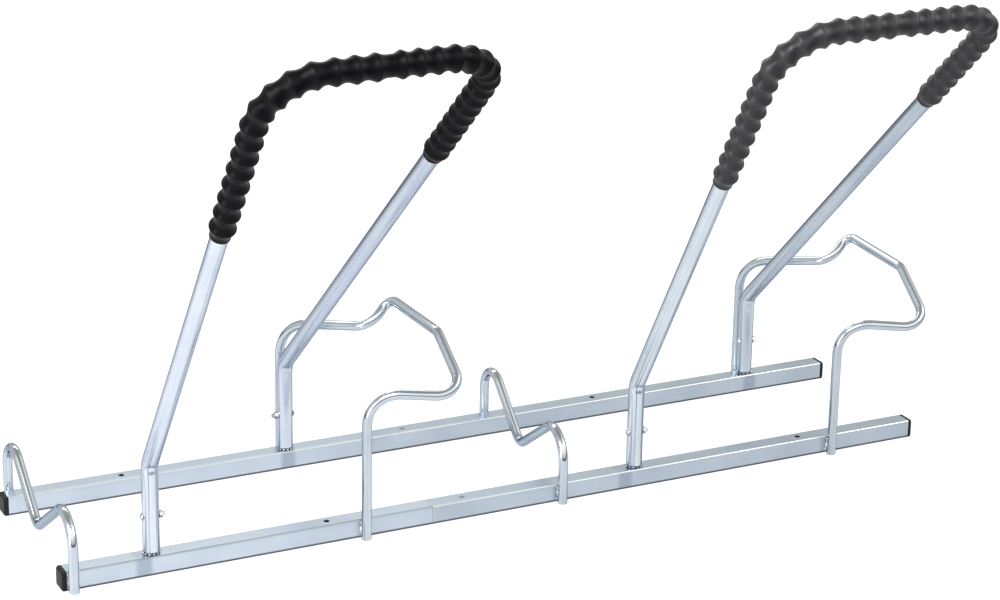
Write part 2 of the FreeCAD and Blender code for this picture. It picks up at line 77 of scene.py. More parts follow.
def placeCamera(place):
    azimuth = math.radians(place["azimuth"])
    elevation = math.radians(place["elevation"])
    roll = math.radians(place["roll"])
    forward = Vector((math.sin(azimuth) * math.cos(elevation),
                      math.cos(azimuth) * math.cos(elevation), -math.sin(elevation)))
    right = Vector((math.cos(azimuth), -math.sin(azimuth), 0))
    up = right.cross(forward)
    turnedRight = right * math.cos(roll) + up * math.sin(roll)
    turnedUp = up * math.cos(roll) - right * math.sin(roll)
    data = bpy.data.cameras.new("pictureCamera")
    data.sensor_width = place["sensorWidth"]
    data.lens = place["focalPixels"] * place["sensorWidth"] / place["pictureWidth"]
    data.shift_x = (place["pictureMiddle"][0] - place["axisPixel"][0]) / place["pictureWidth"]
    data.shift_y = (place["axisPixel"][1] - place["pictureMiddle"][1]) / place["pictureWidth"]
    data.clip_end = place["farthest"]
    camera = bpy.data.objects.new("pictureCamera", data)
    scene.collection.objects.link(camera)
    axes = Matrix((turnedRight, turnedUp, -forward)).transposed()
    camera.matrix_world = Matrix.Translation(place["spot"] + originShift) @ axes.to_4x4()
    scene.camera = camera


placeCamera(cameraPlace)
scene.view_settings.view_transform = "Standard"
print("camera placed")


# Node helpers
def newMaterial(name):
    material = bpy.data.materials.new(name)
    material.use_nodes = True
    return material, material.node_tree.nodes, material.node_tree.links


def addNode(tree, kind, **inputs):
    node = tree.nodes.new(kind)
    for key, value in inputs.items():
        node.inputs[key].default_value = value
    return node


def mathNode(tree, operation, first, second=None, third=None):
    node = tree.nodes.new("ShaderNodeMath")
    node.operation = operation
    for index, value in enumerate((first, second, third)):
        if value is None:
            continue
        if isinstance(value, (int, float)):
            node.inputs[index].default_value = value
        else:
            tree.links.new(value, node.inputs[index])
    return node.outputs[0]


def newGroup(name, inputs, outputs):
    group = bpy.data.node_groups.new(name, "ShaderNodeTree")
    for socketName, kind, value in inputs:
        socket = group.interface.new_socket(socketName, in_out="INPUT", socket_type=kind)
        socket.default_value = value
    for socketName, kind in outputs:
        group.interface.new_socket(socketName, in_out="OUTPUT", socket_type=kind)
    return group, group.nodes.new("NodeGroupInput"), group.nodes.new("NodeGroupOutput")


# Inputs 6 and 7 and output 2 are the mix node's own for colours.
def mixColours(tree, factor, first, second):
    node = tree.nodes.new("ShaderNodeMix")
    node.data_type = "RGBA"
    for socket, value in ((node.inputs["Factor"], factor), (node.inputs[6], first), (node.inputs[7], second)):
        if hasattr(value, "is_output"):
            tree.links.new(value, socket)
        else:
            socket.default_value = value
    return node.outputs[2]


def placeGroup(nodes, group, values):
    node = nodes.new("ShaderNodeGroup")
    node.node_tree = group
    for socketName, value in values.items():
        node.inputs[socketName].default_value = value
    return node


def linkSkin(links, skin, shader):
    for output, socket in (("Roughness", "Roughness"), ("Normal", "Normal"), ("Colour", "Base Color")):
        if not shader.inputs[socket].is_linked:
            links.new(skin.outputs[output], shader.inputs[socket])


# Zinc plating: cloudy tone, fine drawn lines along one axis, and a shallow ripple in the metal.
platingPattern = {
    "cloudDetail": 5.0, "cloudRoughness": 0.55, "cloudFrom": 0.35, "cloudTo": 0.65,
    "lineScale": 60.0, "lineDetail": 3.0, "lineRoughness": 0.6,
    "lineShare": 0.35,                       # how much of the tone the lines make, beside the clouds
    "rippleDepth": 0.0006, "rippleLines": 0.5,
}


def makePlatingGroup():
    group, inside, outside = newGroup("zincPlating", [
        ("Bright", "NodeSocketColor", (0.8, 0.84, 0.9, 1)),
        ("Dull", "NodeSocketColor", (0.6, 0.65, 0.7, 1)),
        ("Cloud Scale", "NodeSocketFloat", 9.0),
        ("Stretch", "NodeSocketVector", (1, 1, 1)),
        ("Smooth", "NodeSocketFloat", 0.22),
        ("Rough", "NodeSocketFloat", 0.38),
        ("Ripple", "NodeSocketFloat", 0.1)],
        [("Colour", "NodeSocketColor"), ("Roughness", "NodeSocketFloat"), ("Normal", "NodeSocketVector")])
    links = group.links
    pattern = platingPattern
    place = group.nodes.new("ShaderNodeTexCoord")
    stretch = addNode(group, "ShaderNodeMapping")
    links.new(place.outputs["Object"], stretch.inputs["Vector"])
    links.new(inside.outputs["Stretch"], stretch.inputs["Scale"])
    cloud = addNode(group, "ShaderNodeTexNoise", Detail=pattern["cloudDetail"],
                    Roughness=pattern["cloudRoughness"])
    links.new(place.outputs["Object"], cloud.inputs["Vector"])
    links.new(inside.outputs["Cloud Scale"], cloud.inputs["Scale"])
    lines = addNode(group, "ShaderNodeTexNoise", Scale=pattern["lineScale"], Detail=pattern["lineDetail"],
                    Roughness=pattern["lineRoughness"])
    links.new(stretch.outputs["Vector"], lines.inputs["Vector"])
    patch = addNode(group, "ShaderNodeMapRange")
    patch.inputs["From Min"].default_value = pattern["cloudFrom"]
    patch.inputs["From Max"].default_value = pattern["cloudTo"]
    links.new(cloud.outputs["Fac"], patch.inputs["Value"])
    clouds = mathNode(group, "MULTIPLY", patch.outputs["Result"], 1 - pattern["lineShare"])
    both = mathNode(group, "MULTIPLY_ADD", lines.outputs["Fac"], pattern["lineShare"], clouds)
    colour = mixColours(group, both, inside.outputs["Bright"], inside.outputs["Dull"])
    links.new(colour, outside.inputs["Colour"])
    spread = group.nodes.new("ShaderNodeMapRange")
    links.new(both, spread.inputs["Value"])
    links.new(inside.outputs["Smooth"], spread.inputs["To Min"])
    links.new(inside.outputs["Rough"], spread.inputs["To Max"])
    links.new(spread.outputs["Result"], outside.inputs["Roughness"])
    bump = addNode(group, "ShaderNodeBump", Distance=pattern["rippleDepth"])
    height = mathNode(group, "MULTIPLY_ADD", lines.outputs["Fac"], pattern["rippleLines"],
                      cloud.outputs["Fac"])
    links.new(height, bump.inputs["Height"])
    links.new(inside.outputs["Ripple"], bump.inputs["Strength"])
    links.new(bump.outputs["Normal"], outside.inputs["Normal"])
    return group


# Painted reflection streaks along a tube or bar: thin dark lines, and painted shade in soft bands round the
# section.
# The lines run where the noise passes its middle value.
paintedStreakPattern = {"detail": 2.0, "roughness": 0.5, "middle": 0.5, "bandFrom": 0.36, "bandTo": 0.64}


def makePaintedStreakGroup():
    group, inside, outside = newGroup("paintedStreaks", [
        ("Round Scale", "NodeSocketFloat", 1.6),
        ("Along Scale", "NodeSocketFloat", 1.2),
        ("Width", "NodeSocketFloat", 0.012)],
        [("Lines", "NodeSocketFloat"), ("Bands", "NodeSocketFloat")])
    links = group.links
    section = group.nodes.new("ShaderNodeAttribute")
    section.attribute_name = "round"
    along = group.nodes.new("ShaderNodeAttribute")
    along.attribute_name = "along"
    parts = group.nodes.new("ShaderNodeSeparateXYZ")
    links.new(section.outputs["Vector"], parts.inputs["Vector"])
    place = group.nodes.new("ShaderNodeCombineXYZ")
    for axis, value, scale in (("X", parts.outputs["X"], "Round Scale"),
                               ("Y", parts.outputs["Y"], "Round Scale"),
                               ("Z", along.outputs["Fac"], "Along Scale")):
        links.new(mathNode(group, "MULTIPLY", value, inside.outputs[scale]), place.inputs[axis])
    fine = addNode(group, "ShaderNodeTexNoise", Scale=1.0, Detail=paintedStreakPattern["detail"],
                   Roughness=paintedStreakPattern["roughness"])
    links.new(place.outputs["Vector"], fine.inputs["Vector"])
    fromMiddle = mathNode(group, "SUBTRACT", fine.outputs["Fac"], paintedStreakPattern["middle"])
    offMiddle = mathNode(group, "ABSOLUTE", fromMiddle)
    line = group.nodes.new("ShaderNodeMapRange")
    line.interpolation_type = "SMOOTHSTEP"
    line.inputs["From Min"].default_value = 0.0
    line.inputs["To Min"].default_value = 1.0
    line.inputs["To Max"].default_value = 0.0
    links.new(offMiddle, line.inputs["Value"])
    links.new(inside.outputs["Width"], line.inputs["From Max"])
    links.new(line.outputs["Result"], outside.inputs["Lines"])
    soft = group.nodes.new("ShaderNodeMapRange")
    soft.inputs["From Min"].default_value = paintedStreakPattern["bandFrom"]
    soft.inputs["From Max"].default_value = paintedStreakPattern["bandTo"]
    links.new(fine.outputs["Fac"], soft.inputs["Value"])
    links.new(soft.outputs["Result"], outside.inputs["Bands"])
    return group


# Masks over the rails: painted shade inside the hollow, a painted highlight or dark line along the corners,
# a painted contact shadow along the lowest edge, the cut ends at the seam, and the patches that the heat of
# welding leaves near the hoop feet. The rear row has its own seam and patches.
railMarks = {
    "insideWithin": 0.0137,                              # from the middle of the section
    "cornerFrom": 0.0272, "cornerFull": 0.0280,          # both distances from the middle added up
    # the painted contact shadow along the lowest edge fades in between these heights
    "edgeFrom": 0.0046, "edgeFull": 0.0032,              # above the floor
    "contactShadowMatt": 0.8,                                   # share of its gloss that this edge loses
    "seam": (0.572, 0.588), "seamReach": 0.0011,         # front row, rear row
    "heat": ((0.115, 0.903), (0.454, 1.308)),            # front row, rear row
    "heatFull": 0.007, "heatReach": 0.016,
    "topFrom": 0.0292, "heatLostOnTop": 0.6,             # the top keeps only part of the patch
}


def makeRailMarksGroup():
    masks = [(name, "NodeSocketFloat") for name in ("Inside", "Corner", "Contact Shadow", "Seam", "Heat")]
    group, inside, outside = newGroup("railMarks", [("Left End", "NodeSocketFloat", 0.0),
                                                    ("Front Face", "NodeSocketFloat", 0.0)], masks)
    links = group.links
    place = group.nodes.new("ShaderNodeTexCoord")
    split = group.nodes.new("ShaderNodeSeparateXYZ")
    links.new(place.outputs["Object"], split.inputs["Vector"])
    along = mathNode(group, "SUBTRACT", split.outputs["X"], inside.outputs["Left End"])
    back = mathNode(group, "SUBTRACT", split.outputs["Y"], inside.outputs["Front Face"])
    half = rack["railSide"] / 2
    fromMiddle = mathNode(group, "SUBTRACT", back, half + rack["railSpacing"] / 2)
    rearRow = mathNode(group, "GREATER_THAN", fromMiddle, 0.0)
    eitherRow = mathNode(group, "ABSOLUTE", fromMiddle)
    aside = mathNode(group, "ABSOLUTE", mathNode(group, "SUBTRACT", eitherRow, rack["railSpacing"] / 2))
    above = mathNode(group, "ABSOLUTE", mathNode(group, "SUBTRACT", split.outputs["Z"], half))

    def fade(value, start, full):
        node = group.nodes.new("ShaderNodeMapRange")
        node.interpolation_type = "SMOOTHSTEP"
        node.inputs["From Min"].default_value = start
        node.inputs["From Max"].default_value = full
        links.new(value, node.inputs["Value"])
        return node.outputs["Result"]

    def byRow(values):
        return mathNode(group, "MULTIPLY_ADD", rearRow, values[1] - values[0], values[0])

    def distance(values):
        return mathNode(group, "ABSOLUTE", mathNode(group, "SUBTRACT", along, byRow(values)))

    farther = mathNode(group, "MAXIMUM", aside, above)
    # painted shade inside the hollow rail, black and without gloss
    links.new(mathNode(group, "LESS_THAN", farther, railMarks["insideWithin"]), outside.inputs["Inside"])
    # painted highlight or dark line along the rounded corners
    both = mathNode(group, "ADD", aside, above)
    links.new(fade(both, railMarks["cornerFrom"], railMarks["cornerFull"]), outside.inputs["Corner"])
    # painted contact shadow along the lowest edge, just above the floor
    contactShadow = fade(split.outputs["Z"], railMarks["edgeFrom"], railMarks["edgeFull"])
    links.new(contactShadow, outside.inputs["Contact Shadow"])
    fromSeam = distance(railMarks["seam"])
    links.new(mathNode(group, "LESS_THAN", fromSeam, railMarks["seamReach"]), outside.inputs["Seam"])
    nearest = mathNode(group, "MINIMUM", *[distance(pair) for pair in zip(*railMarks["heat"])])
    onTop = mathNode(group, "GREATER_THAN", split.outputs["Z"], railMarks["topFrom"])
    kept = mathNode(group, "MULTIPLY_ADD", onTop, -railMarks["heatLostOnTop"], 1.0)
    heat = mathNode(group, "MULTIPLY", fade(nearest, railMarks["heatReach"], railMarks["heatFull"]), kept)
    links.new(heat, outside.inputs["Heat"])
    return group


platingGroup = makePlatingGroup()
paintedStreakGroup = makePaintedStreakGroup()
railMarksGroup = makeRailMarksGroup()


def makeZinc(name, look):
    material, nodes, links = newMaterial(name)
    tree = material.node_tree
    shader = nodes["Principled BSDF"]
    shader.inputs["Metallic"].default_value = 1.0

    def tinted(mask, share, under, tint):
        return mixColours(tree, mathNode(tree, "MULTIPLY", mask, share), under, (*tint, 1))

    plating = placeGroup(nodes, platingGroup, {
        "Bright": (*look["bright"], 1), "Dull": (*look["dull"], 1),
        "Cloud Scale": look["clouds"], "Stretch": look["stretch"],
        "Smooth": look["smooth"], "Rough": look["rough"], "Ripple": look["ripple"]})
    colour = plating.outputs["Colour"]
    # painted reflection streaks: thin dark lines along the tube, and painted shade in bands round it
    if "lines" in look:
        streaks = placeGroup(nodes, paintedStreakGroup, {
            "Round Scale": look["roundScale"], "Along Scale": look["alongScale"], "Width": look["lineWidth"]})
        colour = tinted(streaks.outputs["Bands"], look["bands"], colour, look["shade"])
        colour = tinted(streaks.outputs["Lines"], look["lines"], colour, look["dark"])
    if "marks" in look:
        marks = placeGroup(nodes, railMarksGroup, {"Left End": originShift.x, "Front Face": originShift.y})
        for mark, (tint, share) in look["marks"].items():
            colour = tinted(marks.outputs[mark], share, colour, tint)
        # the painted shade inside and the painted contact shadow along the lowest edge take away gloss as
        # well as colour
        contactShadow = mathNode(tree, "MULTIPLY", marks.outputs["Contact Shadow"], railMarks["contactShadowMatt"])
        clean = mathNode(tree, "SUBTRACT", 1.0, mathNode(tree, "MAXIMUM", marks.outputs["Inside"], contactShadow))
        links.new(clean, shader.inputs["Metallic"])
        specular = mathNode(tree, "MULTIPLY", clean, shader.inputs["Specular IOR Level"].default_value)
        links.new(specular, shader.inputs["Specular IOR Level"])
    shader.inputs["Specular Tint"].default_value = (*look["rim"], 1)
    links.new(colour, shader.inputs["Base Color"])
    linkSkin(links, plating, shader)
    return material


# Each mark has a tint and the share of it that covers the zinc, and they are laid on in this order.
def railMarkTints(seam, corner):
    # The corner tint is a painted highlight or dark line, the lowest-edge tint is a painted contact shadow,
    # and the inside tint is painted shade.
    return {"Heat": ((0.36, 0.43, 0.52), 0.75), "Corner": (corner, 0.55), "Seam": (seam, 0.8),
            "Contact Shadow": ((0.10, 0.11, 0.13), 0.95), "Inside": ((0.004, 0.004, 0.005), 1.0)}


# Corner tints: a painted highlight, and a painted dark line for the front left rail.
paintedCornerHighlight, paintedCornerShade = (0.86, 0.90, 0.94), (0.30, 0.33, 0.38)
darkSeam, paleSeam = (0.22, 0.24, 0.27), (0.95, 0.97, 1.0)
railFinish = dict(clouds=7.0, stretch=(0.02, 1, 1), smooth=0.24, rough=0.38, ripple=0.05,
                  rim=(0.8, 0.85, 0.9))
leftRail = dict(railFinish, bright=(0.68, 0.76, 0.86), dull=(0.53, 0.61, 0.70))
# On bars and hoops, lines and dark give the painted dark reflection streaks, and bands and shade give the
# painted shade bands.
hoopFinish = dict(clouds=10.0, stretch=(0.5, 0.1, 0.1), smooth=0.17, rough=0.30, ripple=0.10,
                  rim=(0.40, 0.46, 0.54), roundScale=1.5, alongScale=0.3, lines=0.95)
zincLooks = {
    "railZinc": dict(leftRail, marks=railMarkTints(darkSeam, paintedCornerHighlight)),
    "railZincFrontLeft": dict(leftRail, marks=railMarkTints(darkSeam, paintedCornerShade)),
    "railZincRight": dict(railFinish, bright=(0.61, 0.69, 0.78), dull=(0.48, 0.555, 0.645),
                          marks=railMarkTints(paleSeam, paintedCornerHighlight)),
    "barZinc": dict(bright=(0.72, 0.78, 0.85), dull=(0.58, 0.65, 0.73), clouds=16.0, stretch=(0.3, 0.3, 0.3),
                    smooth=0.06, rough=0.14, ripple=0.10, rim=(0.45, 0.50, 0.56),
                    roundScale=1.2, alongScale=1.2, lineWidth=0.016, lines=0.8, bands=0.35,
                    shade=(0.46, 0.52, 0.60), dark=(0.08, 0.10, 0.14)),
    "hoopZinc": dict(hoopFinish, bright=(0.82, 0.87, 0.93), dull=(0.68, 0.75, 0.86), lineWidth=0.016,
                     bands=0.45, shade=(0.58, 0.66, 0.80), dark=(0.10, 0.14, 0.22)),
    "hoopZincRight": dict(hoopFinish, bright=(0.86, 0.93, 0.97), dull=(0.70, 0.78, 0.87), lineWidth=0.018,
                          bands=0.55, shade=(0.50, 0.58, 0.69), dark=(0.07, 0.11, 0.18)),
    "boltZinc": dict(bright=(0.92, 0.94, 0.96), dull=(0.36, 0.40, 0.44), clouds=120.0, stretch=(1, 1, 1),
                     smooth=0.12, rough=0.30, ripple=0.15, rim=(0.3, 0.33, 0.36)),
    # Weld tone runs from white to black at random: the weld's own dark spots, and painted shade between the
    # blobs.
    "weldZinc": dict(bright=(1.0, 1.0, 1.0), dull=(0.0, 0.0, 0.0), clouds=150.0, stretch=(1, 1, 1),
                     smooth=0.12, rough=0.40, ripple=0.9, rim=(0.2, 0.2, 0.22)),
}
zinc = {name: makeZinc(name, look) for name, look in zincLooks.items()}


# Moulded black plastic and rubber: cloudy tone and gloss, paler where it is worn, and a fine grain.
mouldedPattern = {"cloudDetail": 6.0, "grainDetail": 2.0}


def makeMouldedGroup():
    group, inside, outside = newGroup("mouldedSkin", [
        ("Deep", "NodeSocketColor", (0.006, 0.006, 0.007, 1)),
        ("Worn", "NodeSocketColor", (0.018, 0.018, 0.02, 1)),
        ("Wear", "NodeSocketFloat", 1.0),
        ("Cloud Scale", "NodeSocketFloat", 70.0),
        ("Cloud Roughness", "NodeSocketFloat", 0.7),
        ("Cloud From", "NodeSocketFloat", 0.0),
        ("Cloud To", "NodeSocketFloat", 1.0),
        ("Smooth", "NodeSocketFloat", 0.38),
        ("Rough", "NodeSocketFloat", 0.62),
        ("Grain Scale", "NodeSocketFloat", 900.0),
        ("Grain Strength", "NodeSocketFloat", 0.15),
        ("Grain Depth", "NodeSocketFloat", 0.0003)],
        [("Colour", "NodeSocketColor"), ("Roughness", "NodeSocketFloat"), ("Normal", "NodeSocketVector")])
    links = group.links
    place = group.nodes.new("ShaderNodeTexCoord")
    cloud = addNode(group, "ShaderNodeTexNoise", Detail=mouldedPattern["cloudDetail"])
    grain = addNode(group, "ShaderNodeTexNoise", Detail=mouldedPattern["grainDetail"])
    spread = group.nodes.new("ShaderNodeMapRange")
    bump = group.nodes.new("ShaderNodeBump")
    for node, socket, source in ((cloud, "Scale", "Cloud Scale"), (cloud, "Roughness", "Cloud Roughness"),
                                 (grain, "Scale", "Grain Scale"),
                                 (spread, "From Min", "Cloud From"), (spread, "From Max", "Cloud To"),
                                 (spread, "To Min", "Smooth"), (spread, "To Max", "Rough"),
                                 (bump, "Strength", "Grain Strength"), (bump, "Distance", "Grain Depth")):
        links.new(inside.outputs[source], node.inputs[socket])
    for texture in (cloud, grain):
        links.new(place.outputs["Object"], texture.inputs["Vector"])
    worn = mathNode(group, "MULTIPLY", inside.outputs["Wear"], cloud.outputs["Fac"])
    colour = mixColours(group, worn, inside.outputs["Deep"], inside.outputs["Worn"])
    links.new(colour, outside.inputs["Colour"])
    links.new(cloud.outputs["Fac"], spread.inputs["Value"])
    links.new(spread.outputs["Result"], outside.inputs["Roughness"])
    links.new(grain.outputs["Fac"], bump.inputs["Height"])
    links.new(bump.outputs["Normal"], outside.inputs["Normal"])
    return group


mouldedGroup = makeMouldedGroup()


# With crests, the material is worn where the "crest" attribute of the ribs says so.
def makeMoulded(name, look):
    material, nodes, links = newMaterial(name)
    shader = nodes["Principled BSDF"]
    shader.inputs["Specular IOR Level"].default_value = look["sheen"]
    skin = placeGroup(nodes, mouldedGroup, {
        "Deep": (*look["deep"], 1), "Worn": (*look["worn"], 1),
        "Cloud Scale": look["cloudScale"], "Cloud Roughness": look["cloudRoughness"],
        "Cloud From": look["clouds"][0], "Cloud To": look["clouds"][1],
        "Smooth": look["smooth"], "Rough": look["rough"], "Grain Scale": look["grainScale"],
        "Grain Strength": look["grainStrength"], "Grain Depth": look["grainDepth"]})
    if look["crests"]:
        crest = nodes.new("ShaderNodeAttribute")
        crest.attribute_name = "crest"
        links.new(crest.outputs["Fac"], skin.inputs["Wear"])
    linkSkin(links, skin, shader)
    return material


rubberFinish = dict(cloudScale=26.0, cloudRoughness=0.62, clouds=(0.3, 0.75), smooth=0.27, rough=0.44,
                    grainScale=700.0, grainStrength=0.12, grainDepth=0.0004, crests=True)
mouldedLooks = {
    "plugPlastic": dict(deep=(0.006, 0.006, 0.007), worn=(0.018, 0.018, 0.020), sheen=0.22,
                        cloudScale=70.0, cloudRoughness=0.7, clouds=(0.0, 1.0), smooth=0.38, rough=0.62,
                        grainScale=900.0, grainStrength=0.15, grainDepth=0.0003, crests=False),
    "sleeveRubberDark": dict(rubberFinish, deep=(0.0032, 0.0028, 0.0038), worn=(0.0100, 0.0085, 0.0115),
                             sheen=0.11),
    # The right sleeves take a lighter copy of the rubber with more sheen: painted haze that lightens the
    # right unit.
    "sleeveRubberPaintedHaze": dict(rubberFinish, deep=(0.026, 0.0245, 0.0275), worn=(0.070, 0.066, 0.073),
                               sheen=0.42),
}
moulded = {name: makeMoulded(name, look) for name, look in mouldedLooks.items()}
rubber = {"left": moulded["sleeveRubberDark"], "right": moulded["sleeveRubberPaintedHaze"]}
print("materials made")


# Bent bars: straight runs joined by arcs, sampled finely where they turn.
# Each stop is a point, its pinch, which is 1 half way round a bend and falls to 0 at the bend's ends, and the
# direction to the inside of the bend.
# Each bend is marked by where its arc starts and ends along the route, and its corner's distance from both.
def bentRoute(corners, radii, gap=0.006, turnStep=0.05):
    stops = [(corners[0], 0.0, Vector((0, 0, 1)))]
    marks = []

    def addRun(end):
        last = stops[-1][0]
        steps = max(1, int((end - last).length / gap))
        for step in range(1, steps + 1):
            stops.append((last.lerp(end, step / steps), 0.0, stops[-1][2]))

    for before, corner, after, radius in zip(corners, corners[1:], corners[2:], radii):
        back = (before - corner).normalized()
        ahead = (after - corner).normalized()
        turn = math.pi - back.angle(ahead)
        reach = radius * math.tan(turn / 2)
        centre = corner + (back + ahead).normalized() * (radius / math.cos(turn / 2))
        addRun(corner + back * reach)
        arcStart = routeLengths(stops)[-1]
        steps = max(4, int(turn / turnStep))
        spoke = corner + back * reach - centre
        axis = spoke.cross(corner + ahead * reach - centre).normalized()
        for step in range(1, steps + 1):
            share = step / steps
            point = centre + Matrix.Rotation(turn * share, 3, axis) @ spoke
            stops.append((point, math.sin(math.pi * share) ** 2, (centre - point).normalized()))
        marks.append((arcStart, routeLengths(stops)[-1], reach))
    addRun(corners[-1])
    return stops, marks


def routeLengths(stops):
    lengths = [0.0]
    for first, second in zip(stops, stops[1:]):
        lengths.append(lengths[-1] + (second[0] - first[0]).length)
    return lengths


# A polyline with the attributes that the node trees read.
def routeObject(name, stops):
    mesh = bpy.data.meshes.new(name)
    mesh.from_pydata([stop[0] + originShift for stop in stops],
                     [(i, i + 1) for i in range(len(stops) - 1)], [])
    columns = {
        "pinch": ("FLOAT", "value", [stop[1] for stop in stops]),
        "inward": ("FLOAT_VECTOR", "vector", [axis for stop in stops for axis in stop[2]]),
        "along": ("FLOAT", "value", routeLengths(stops)),
    }
    for attribute, (kind, field, values) in columns.items():
        mesh.attributes.new(attribute, kind, "POINT").data.foreach_set(field, values)
    piece = bpy.data.objects.new(name, mesh)
    scene.collection.objects.link(piece)
    return piece


# Geometry node helpers
def newTree(name, inputs):
    tree = bpy.data.node_groups.new(name, "GeometryNodeTree")
    tree.interface.new_socket("Geometry", in_out="INPUT", socket_type="NodeSocketGeometry")
    for socketName, kind, value in inputs:
        socket = tree.interface.new_socket(socketName, in_out="INPUT", socket_type=kind)
        if value is not None:
            socket.default_value = value
    tree.interface.new_socket("Geometry", in_out="OUTPUT", socket_type="NodeSocketGeometry")
    return tree, tree.nodes.new("NodeGroupInput"), tree.nodes.new("NodeGroupOutput")


def named(tree, attribute, kind):
    node = tree.nodes.new("GeometryNodeInputNamedAttribute")
    node.data_type = kind
    node.inputs["Name"].default_value = attribute
    return node.outputs["Attribute"]


def vectorNode(tree, operation, first, second=None, scale=None):
    node = tree.nodes.new("ShaderNodeVectorMath")
    node.operation = operation
    tree.links.new(first, node.inputs[0])
    if second is not None:
        tree.links.new(second, node.inputs[1])
    if scale is not None:
        tree.links.new(scale, node.inputs["Scale"])
    return node.outputs["Value"] if operation == "DOT_PRODUCT" else node.outputs["Vector"]


def finishTree(tree, inside, outside, geometry):
    smooth = tree.nodes.new("GeometryNodeSetShadeSmooth")
    tree.links.new(geometry, smooth.inputs["Geometry"])
    realize = tree.nodes.new("GeometryNodeRealizeInstances")
    tree.links.new(smooth.outputs["Geometry"], realize.inputs["Geometry"])
    setMaterial = tree.nodes.new("GeometryNodeSetMaterial")
    tree.links.new(realize.outputs["Geometry"], setMaterial.inputs["Geometry"])
    tree.links.new(inside.outputs["Material"], setMaterial.inputs["Material"])
    tree.links.new(setMaterial.outputs["Geometry"], outside.inputs["Geometry"])


def storeNamed(tree, geometry, attribute, kind, value):
    node = tree.nodes.new("GeometryNodeStoreNamedAttribute")
    node.data_type = kind
    node.domain = "POINT"
    node.inputs["Name"].default_value = attribute
    tree.links.new(geometry, node.inputs["Geometry"])
    tree.links.new(value, node.inputs["Value"])
    return node.outputs["Geometry"]


# The route is swept with a circle of radius 1, scaled by the radius field. "round" keeps the circle's own
# place on the swept surface, so that a finish can follow the tube round and along.
def sweptCircle(tree, inside, route, radius):
    circle = tree.nodes.new("GeometryNodeCurvePrimitiveCircle")
    circle.inputs["Radius"].default_value = 1.0
    tree.links.new(inside.outputs["Sides"], circle.inputs["Resolution"])
    place = tree.nodes.new("GeometryNodeInputPosition").outputs["Position"]
    circleCurve = storeNamed(tree, circle.outputs["Curve"], "round", "FLOAT_VECTOR", place)
    sweep = tree.nodes.new("GeometryNodeCurveToMesh")
    sweep.inputs["Fill Caps"].default_value = True
    tree.links.new(radius, sweep.inputs["Scale"])
    tree.links.new(route, sweep.inputs["Curve"])
    tree.links.new(circleCurve, sweep.inputs["Profile Curve"])
    return sweep.outputs["Mesh"]


# A round bar along the route, flattened on the inside of each bend as a press leaves it.
def makeBarTree():
    tree, inside, outside = newTree("bentBar", [
        ("Diameter", "NodeSocketFloat", 0.015), ("Sides", "NodeSocketInt", 40),
        ("Flattening", "NodeSocketFloat", 0.1), ("Press Sharpness", "NodeSocketFloat", 1.6),
        ("Material", "NodeSocketMaterial", None)])
    toCurve = tree.nodes.new("GeometryNodeMeshToCurve")
    tree.links.new(inside.outputs["Geometry"], toCurve.inputs["Mesh"])
    radius = mathNode(tree, "MULTIPLY", inside.outputs["Diameter"], 0.5)
    mesh = sweptCircle(tree, inside, toCurve.outputs["Curve"], radius)
    inward = named(tree, "inward", "FLOAT_VECTOR")
    normal = tree.nodes.new("GeometryNodeInputNormal").outputs["Normal"]
    facing = mathNode(tree, "MAXIMUM", vectorNode(tree, "DOT_PRODUCT", normal, inward), 0.0)
    narrowed = mathNode(tree, "POWER", facing, inside.outputs["Press Sharpness"])
    press = mathNode(tree, "MULTIPLY", narrowed, named(tree, "pinch", "FLOAT"))
    share = mathNode(tree, "MULTIPLY", press, inside.outputs["Flattening"])
    depth = mathNode(tree, "MULTIPLY", share, radius)
    offset = vectorNode(tree, "SCALE", inward, scale=mathNode(tree, "MULTIPLY", depth, -1.0))
    move = tree.nodes.new("GeometryNodeSetPosition")
    tree.links.new(mesh, move.inputs["Geometry"])
    tree.links.new(offset, move.inputs["Offset"])
    finishTree(tree, inside, outside, move.outputs["Geometry"])
    return tree


